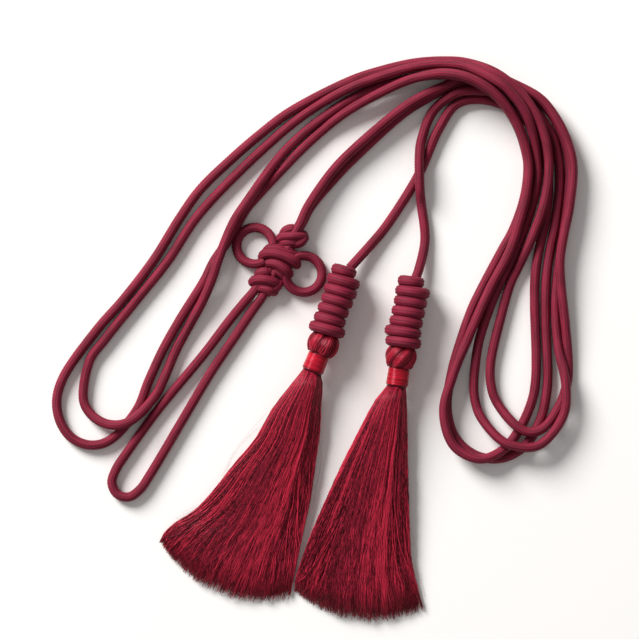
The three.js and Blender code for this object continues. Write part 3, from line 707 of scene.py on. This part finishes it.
def press_flat(piece, count, end):
    """Turns wound against each other are pressed: their section is nearer to a square."""
    sides = sides_of(CORD_LEVEL)
    mesh = piece.data
    co = points_of(mesh).reshape(-1, sides, 3)
    axis = direction(end["coil"])
    own = co[:count]
    middle = own.mean(axis=1, keepdims=True)
    spoke = middle - end["pivot"]
    spoke = spoke - (spoke @ axis)[..., None] * axis
    spoke /= np.linalg.norm(spoke, axis=2, keepdims=True)
    offset = own - middle
    outward = (offset * spoke).sum(axis=2)
    along = offset @ axis
    size = np.hypot(outward, along)
    powers = (np.abs(outward) / size) ** SQUARENESS + (np.abs(along) / size) ** SQUARENESS
    stretch = powers ** (-1 / SQUARENESS)
    co[:count] = middle + offset * stretch[..., None]
    mesh.vertices.foreach_set("co", co.ravel())


for side, end in SIDES.items():
    winding = evenly(laid_down(coil_line(end) * MM, end["pivot"], end["coil"]), RING_STEP)
    winding[:, 2] = np.maximum(winding[:, 2], TURN_RADIUS * MM)
    core = laid_down(np.array([(0, 0, 6.2), (0, 0, 20.0), (0, 0, 41.5)]) * MM, end["pivot"], end["coil"])
    core = evenly(core, RING_STEP)
    lines = [winding, core]
    shares = [tapered_ends(len(winding), 0.015, 0.7), 1.2 * tapered_ends(len(core), 0.08, 0.4)]
    piece = tubes(f"{side}_coil_knot", lines, TURN_RADIUS * MM, CORD_LEVEL, shares)
    lay_uv(piece, lines, sides_of(CORD_LEVEL), WALES)
    press_flat(piece, len(winding), end)
    braid(piece, lines)
    close_ends(piece)
    hand_in(piece, rayon, "folded_cord", "cord", f"coil_knot_{side}", f"coil_core_{side}")

# %% [markdown]
# ## Tassel heads
# Above its neck band a tassel is a hank of silk folded over its hanging loop. The folded
# threads make a small round head, and they all run from the crown down into the band.
# On one head they lie nearly straight, on the other a twist sends them across the front.

# %% Fold the silk over the heads
HEAD_RADIUS = 8.2
BAND_START = 5.7
HEAD_THREADS = 560
HEAD_THREAD = 0.3


def head_threads(twist, layer_radius, count):
    """Threads from the crown, over the widest part, to the top of the neck band."""
    lines = []
    for k in range(count):
        turn = 2 * math.pi * (k + rng.uniform(-0.4, 0.4)) / count
        t = np.linspace(0, 1, 12)
        polar = np.radians(12 + (132 - 12) * t)
        wander = turn + twist * (t - 0.5) + 0.05 * np.sin(7 * t + rng.uniform(0, 6))
        reach = layer_radius + rng.uniform(-0.25, 0.2) + 0.4 * np.sin(6 * turn + 1.0)
        ring = reach * np.sin(polar)
        along = reach * np.cos(polar)
        lines.append(np.c_[ring * np.cos(wander), ring * np.sin(wander), along])
    return lines


def laid_lines(lines, end, degrees):
    return [laid_down(line * MM, end["pivot"], degrees) for line in lines]


for side, end in SIDES.items():
    twist = 0.35 if side == "left" else 1.5
    local = head_threads(twist, HEAD_RADIUS - 0.55, HEAD_THREADS)
    local += head_threads(twist * 0.6, HEAD_RADIUS - 1.2, HEAD_THREADS // 2)
    lines = laid_lines(local, end, end["skirt"] + 180)
    # Painted shade: threads on each fold's crest are lighter, those in its hollow darker.
    painted_fold_shade = np.array([math.sin(6 * math.atan2(line[5, 1], line[5, 0]) + 1.0) for line in local])
    shades = np.clip(0.55 + 0.3 * painted_fold_shade + rng.normal(0, 0.15, len(lines)), 0, 1)
    piece = thread_piece(f"{side}_tassel_head", lines, HEAD_THREAD * MM, shades)
    hand_in(piece, head_silk, f"tassel_{side}", "silk", f"tassel_head_{side}")

# %% [markdown]
# ## Neck bands
# The neck is whipped with silk, turn by turn. The turns are 0.4 mm apart, wound coarse
# so that they show. Because every thread runs round the neck, the light makes one
# bright streak along it.

# %% Wind the neck bands
BAND_LENGTH = 8.7
BAND_RADIUS = 5.9
BAND_PITCH = 0.40
BAND_THREAD = 0.27
POINTS_PER_BAND_TURN = 56


def band_lines():
    """One line for each turn, joined underneath, so that each turn can have its own shade."""
    turns = round(BAND_LENGTH / BAND_PITCH)
    a = np.linspace(0, 2 * math.pi * turns, turns * POINTS_PER_BAND_TURN + 1)
    down = -(BAND_START + 0.2) - BAND_LENGTH * a / a[-1]
    waist = BAND_RADIUS - BAND_THREAD - 0.25 + 0.25 * (a / a[-1]) ** 2
    line = np.c_[waist * np.sin(a), -waist * np.cos(a), down]
    per = POINTS_PER_BAND_TURN
    return [line[k * per:(k + 1) * per + 1] for k in range(turns)]


def neck_core():
    """A short plug of silk inside the whipping, along its axis."""
    return np.array([(0, 0, -BAND_START + 1.2), (0, 0, -BAND_START - BAND_LENGTH - 1.0)])


for side, end in SIDES.items():
    lines = laid_lines(band_lines(), end, end["skirt"] + 180)
    shades = 0.55 + 0.12 * np.sin(1.9 * np.arange(len(lines))) + rng.uniform(-0.1, 0.1, len(lines))
    piece = thread_piece(f"{side}_neck_band", lines, BAND_THREAD * MM, np.clip(shades, 0, 1), level=1)
    hand_in(piece, satin, f"tassel_{side}", "satin", f"neck_band_{side}")
    plug = evenly(laid_lines([neck_core()], end, end["skirt"] + 180)[0], 1.0 * MM)
    piece = thread_piece(f"{side}_neck_core", [plug], 5.3 * MM, [0.3], level=10)
    hand_in(piece, head_silk, f"tassel_{side}", "silk")

# %% The eye of thread inside each head
for side in SIDES:
    eye = frame["nodes"][f"tassel_loop_{side}"]
    eye.data.materials.clear()
    eye.data.materials.append(head_silk)

# %% [markdown]
# ## Skirts
# Each skirt is thousands of silk threads that leave the band in a tight bundle and
# spread into a flat fan. What makes it look like silk is that no two threads agree:
# locks drift to one side together, single threads cross them, each has a fine crimp,
# and their cut ends make a ragged edge. So thousands of threads are modelled one by
# one, each 0.42 mm thick, coarse enough to show. They cover the top and the edges. The
# middle of the underside has none, so the smooth core, painted dark as shade, shows
# there when a tassel lifts.

# %% Outline of the skirts
# Each section: left edge x, y, right edge x, y, underside, top, bulge towards the fringe.
SKIRT_SECTIONS = {
    "left": [
        (12.6, -55.6, 21.1, -59.0, 4.6, 14.4, 0.2),
        (4.8, -65.4, 22.2, -65.0, 1.6, 15.2, 1.5),
        (-4.4, -77.3, 21.4, -75.4, 0, 14.2, 2.5),
        (-12.8, -92.3, 20.9, -88.4, 0, 12.8, 3.0),
        (-24.4, -106.2, 19.0, -101.6, 0, 11.2, 3.5),
        (-35.5, -120.4, 17.2, -114.8, 0, 9.6, 4.5),
        (-44.4, -129.9, 15.6, -125.2, 0, 8.2, 6.0),
        (-54.9, -136.7, 12.0, -141.0, 0, 6.6, 8.0),
        (-60.2, -141.5, 9.4, -153.4, 0, 5.2, 9.6),
        (-62.9, -146.2, 5.4, -173.4, 0, 3.6, 12.0),
    ],
    "right": [
        (56.4, -64.3, 65.6, -65.6, 4.6, 14.4, 0.2),
        (49.8, -72.5, 66.0, -70.6, 1.6, 15.2, 1.0),
        (40.8, -89.4, 66.6, -88.3, 0, 14.2, 1.5),
        (31.6, -107.8, 66.8, -104.2, 0, 12.6, 2.0),
        (23.8, -125.2, 67.2, -120.0, 0, 11.0, 2.5),
        (17.0, -141.0, 67.6, -136.2, 0, 9.4, 3.5),
        (12.6, -153.1, 68.4, -153.5, 0, 7.6, 5.0),
        (8.8, -164.2, 70.2, -164.0, 0, 5.8, 7.0),
        (7.6, -171.4, 74.3, -179.6, 0, 3.6, 10.0),
    ],
}
THREAD_RADIUS = 0.21
THREAD_POINTS = 17
THREADS_PER_PIECE = 1440
PIECES_PER_SKIRT = 3
PAST_FRINGE = 0.03
THREAD_ARC = (-0.25 * math.pi, 1.25 * math.pi)
SKIN_SHARE = 0.72
SKIN_FROM = 0.86
INNERMOST = 0.3
LOCKS_ACROSS = 13
LOCK_COUNT = 32
WISPS_PER_RADIAN = 46
INNER_WISPS_FROM = 280
WISP_COUNT = 560
LOWEST_THREAD = 0.3


def skirt_sections(side):
    """Finely spaced sections, by distance along the middle of the skirt."""
    table = spline_through(SKIRT_SECTIONS[side])
    middle = (table[:, 0:2] + table[:, 2:4]) / 2
    far = np.concatenate([[0], np.cumsum(np.linalg.norm(np.diff(middle, axis=0), axis=1))])
    share = far / far[-1]
    beyond = (table[-1] - table[-2]) * PAST_FRINGE / (share[-1] - share[-2])
    return np.vstack([table, table[-1] + beyond]), np.append(share, 1 + PAST_FRINGE)


def on_skirt(table, share, t, across, height):
    """Places a thread: across runs from -1 at the left edge to 1, height from -1 to 1."""
    row = np.stack([np.interp(t, share, table[:, k]) for k in range(7)], axis=-1)
    run = row[..., 2:4] - row[..., 0:2]
    width = np.linalg.norm(run, axis=-1)
    down = np.stack([run[..., 1], -run[..., 0]], axis=-1) / width[..., None]
    xy = row[..., 0:2] + run * ((across + 1) / 2)[..., None]
    xy = xy + down * (row[..., 6] * (1 - across ** 2))[..., None]
    middle = (row[..., 4] + row[..., 5]) / 2
    half = (row[..., 5] - row[..., 4]) / 2
    return np.concatenate([xy, (middle + half * height)[..., None]], axis=-1)


def skirt_threads(side, count):
    """Lines in metres and a shade for each: locks drift together, wisps cross, ends are ragged."""
    table, share = skirt_sections(side)
    angle = rng.uniform(*THREAD_ARC, count)
    layer = np.where(
        rng.random(count) < SKIN_SHARE,
        rng.uniform(SKIN_FROM, 1.0, count),
        rng.uniform(INNERMOST, SKIN_FROM, count),
    )
    across0 = np.cos(angle) * layer
    height0 = np.sin(angle) * layer
    t = np.linspace(0, 1, THREAD_POINTS)[None, :]
    lock_rng = np.random.default_rng(11)
    lock = np.floor(across0 * LOCKS_ACROSS + rng.uniform(-0.6, 0.6, count)).astype(int)
    lock = lock + LOCK_COUNT // 2
    drift = lock_rng.normal(0, 0.05, LOCK_COUNT)[lock][:, None] * t ** 1.4
    wisp = np.floor((angle + 1) * WISPS_PER_RADIAN).astype(int)
    wisp = wisp + INNER_WISPS_FROM * (layer < SKIN_FROM)
    wisp_drift = lock_rng.normal(0, 0.12, WISP_COUNT)[wisp][:, None] * t ** 1.8
    wisp_lift = lock_rng.normal(0, 0.24, WISP_COUNT)[wisp]
    wisp_end = lock_rng.uniform(0.95, 1.015, WISP_COUNT)[wisp]
    wisp_bright = lock_rng.random(WISP_COUNT)[wisp]
    wave = lock_rng.uniform(0, 2 * math.pi, WISP_COUNT)[wisp][:, None]
    gather = 0.018 * np.sin(2 * math.pi * 1.3 * t + wave) * t
    t = t * (wisp_end + rng.uniform(-0.015, 0.012, count))[:, None]
    loose = np.where(rng.random(count) < 0.3, 0.3, 0.016)
    stray = (rng.normal(0, 1, count) * loose)[:, None] * t ** 2.2
    across = across0[:, None] + drift + wisp_drift + gather + stray
    across = np.clip(across, -0.995, 0.995) * (0.992 + 0.008 * rng.random((count, 1)))
    height = height0[:, None] + (rng.normal(0, 0.08, count) + wisp_lift)[:, None] * t
    height = np.clip(height, -1, 1) * np.sqrt(np.clip(1 - across ** 2 * 0.9, 0.05, 1))
    place = on_skirt(table, share, t, across, height)
    crimp = rng.uniform(0.15, 0.5, count)[:, None] * np.sin(
        2 * math.pi * t * rng.uniform(5, 11, count)[:, None] + rng.uniform(0, 6.3, count)[:, None]
    )
    place[..., 0] += crimp * (0.2 + t)
    place[..., 2] += 0.6 * crimp * (0.2 + t)
    place[..., 2] = np.maximum(place[..., 2], LOWEST_THREAD)
    shades = np.where(wisp_bright > 0.66, 0.85, 0.1 + 0.6 * wisp_bright) + rng.normal(0, 0.18, count)
    shades = np.clip(shades, 0, 1)
    return place * MM, shades


CORE_REACH = 0.9
CORE_WIDTH = 0.82
CORE_HEIGHT = 0.7
CORE_SIDES = 24
CORE_RINGS = 30


def skirt_core(side):
    """The inside of the skirt, painted dark as shade: rings laid on its sections, narrower and shorter than
    the threads.
    """
    table, share = skirt_sections(side)
    bm = bmesh.new()
    before = []
    for t in np.linspace(0, CORE_REACH, CORE_RINGS):
        made = bmesh.ops.create_circle(bm, cap_ends=False, radius=1.0, segments=CORE_SIDES)["verts"]
        round_co = np.array([vertex.co[:] for vertex in made])
        spots = np.full(CORE_SIDES, t)
        co = on_skirt(table, share, spots, CORE_WIDTH * round_co[:, 0], CORE_HEIGHT * round_co[:, 1]) * MM
        for vertex, place in zip(made, co):
            vertex.co = place
        ring = [edge for edge in bm.edges if edge.verts[0] in made and edge.verts[1] in made]
        if before:
            bmesh.ops.bridge_loops(bm, edges=before + ring)
        before = ring
    ends = [edge for edge in bm.edges if edge.is_boundary]
    bmesh.ops.holes_fill(bm, edges=ends, sides=0)
    bmesh.ops.recalc_face_normals(bm, faces=bm.faces)
    mesh = bpy.data.meshes.new(f"{side}_skirt_inside_painted_shade")
    for face in bm.faces:
        face.smooth = True
    bm.to_mesh(mesh)
    bm.free()
    mesh.uv_layers.new(name="UVMap")
    # Painted shade: the whole inside gets shade 0.05, near the darkest thread colour.
    attribute = mesh.attributes.new("thread_shade", "FLOAT", "POINT")
    attribute.data.foreach_set("value", np.full(len(mesh.vertices), 0.05))
    piece = bpy.data.objects.new(mesh.name, mesh)
    bpy.context.scene.collection.objects.link(piece)
    return piece


for side in SIDES:
    taper = np.concatenate([np.full(THREAD_POINTS - 3, 1.0), [0.95, 0.8, 0.45]])
    for number in range(PIECES_PER_SKIRT):
        place, shades = skirt_threads(side, THREADS_PER_PIECE)
        piece = thread_piece(
            f"{side}_skirt_threads_{number + 1}", list(place), THREAD_RADIUS * MM, shades,
            [taper] * THREADS_PER_PIECE,
        )
        hand_in(piece, floss, f"tassel_{side}", "silk", f"skirt_{side}")
    hand_in(skirt_core(side), floss, f"tassel_{side}", "silk")

# %% [markdown]
# ## Stray hairs
# A few single filaments have worked loose beside the skirts. They are far thinner than
# a thread and lie almost flat on the table.

# %% Lay the stray hairs
HAIRS = {
    "left": [
        [(-7.0, -79.0, 3.0), (-15.0, -88.0, 1.0), (-24.0, -99.0, 0.5), (-31.0, -113.0, 0.6)],
        [(-43.0, -128.5, 2.6), (-48.0, -131.5, 1.2), (-55.0, -134.5, 0.5)],
        [(-41.0, -127.0, 2.6), (-46.0, -129.0, 1.2), (-52.0, -131.8, 0.8)],
        [(20.5, -92.0, 3.0), (21.5, -104.0, 0.9), (19.0, -118.0, 0.6), (17.0, -130.0, 1.5)],
    ],
    "right": [
        [(68.0, -140.0, 3.0), (70.0, -146.0, 1.0), (70.4, -150.0, 0.6)],
        [(71.0, -160.0, 3.0), (74.0, -168.0, 1.0), (76.2, -176.0, 0.6)],
    ],
}
HAIR_RADIUS = 0.045

for side, hairs in HAIRS.items():
    lines = [evenly(spline_through(np.array(hair) * MM), 1.0 * MM) for hair in hairs]
    piece = thread_piece(f"{side}_stray_hairs", lines, HAIR_RADIUS * MM, [0.5] * len(lines))
    hand_in(piece, filament, f"tassel_{side}", "silk")

# %% [markdown]
# ## Table and light
# The bundle lies on a pale, matt sheet. One large lamp stands low to the upper left, so
# each cord has a lit flank and a dark one and throws a soft grey shadow to the lower
# right. A white surrounding fills the shadows.

# %% Pale sheet
def pale_sheet():
    m = new_material("matt_paper")
    place = add(m, "ShaderNodeTexCoord").outputs["Object"]
    grain = add(m, "ShaderNodeTexNoise", Vector=place, Scale=900.0, Detail=2.0).outputs[0]
    colour = mixed(m, grain, linear("#fbf8f4"), linear("#fffdfa"))
    shader = add(m, "ShaderNodeBsdfPrincipled", Base_Color=colour, Roughness=0.9)
    return finish_material(m, shader)


floor_bm = bmesh.new()
bmesh.ops.create_grid(floor_bm, x_segments=1, y_segments=1, size=2.0)
floor_mesh = bpy.data.meshes.new("pale_sheet")
floor_bm.to_mesh(floor_mesh)
floor_bm.free()
floor = bpy.data.objects.new("pale_sheet", floor_mesh)
floor.data.materials.append(pale_sheet())
bpy.context.scene.collection.objects.link(floor)


# %% Lamps and surroundings
def area_lamp(name, azimuth, elevation, distance, size, watts):
    data = bpy.data.lights.new(name, "AREA")
    data.shape = "DISK"
    data.size = size
    data.energy = watts
    lamp = bpy.data.objects.new(name, data)
    bpy.context.scene.collection.objects.link(lamp)
    a, e = math.radians(azimuth), math.radians(elevation)
    out = np.array([math.cos(e) * math.cos(a), math.cos(e) * math.sin(a), math.sin(e)])
    target = np.array([*CAMERA_CENTRE, 0.0])
    lamp.location = target + out * distance
    lamp.rotation_euler = Vector(-out).to_track_quat("-Z", "Y").to_euler()


KEY_WATTS = 266
KEY_AZIMUTH = 132
KEY_ELEVATION = 30
KEY_DISTANCE = 4.0
KEY_SIZE = 2.0
SURROUND_STRENGTH = 0.31
area_lamp("key_lamp", KEY_AZIMUTH, KEY_ELEVATION, KEY_DISTANCE, KEY_SIZE, KEY_WATTS)

world = bpy.data.worlds.new("studio")
bpy.context.scene.world = world
world.use_nodes = True
surround = world.node_tree.nodes["Background"]
surround.inputs["Color"].default_value = (1, 1, 1, 1)
surround.inputs["Strength"].default_value = SURROUND_STRENGTH
bpy.context.scene.view_settings.view_transform = "Standard"
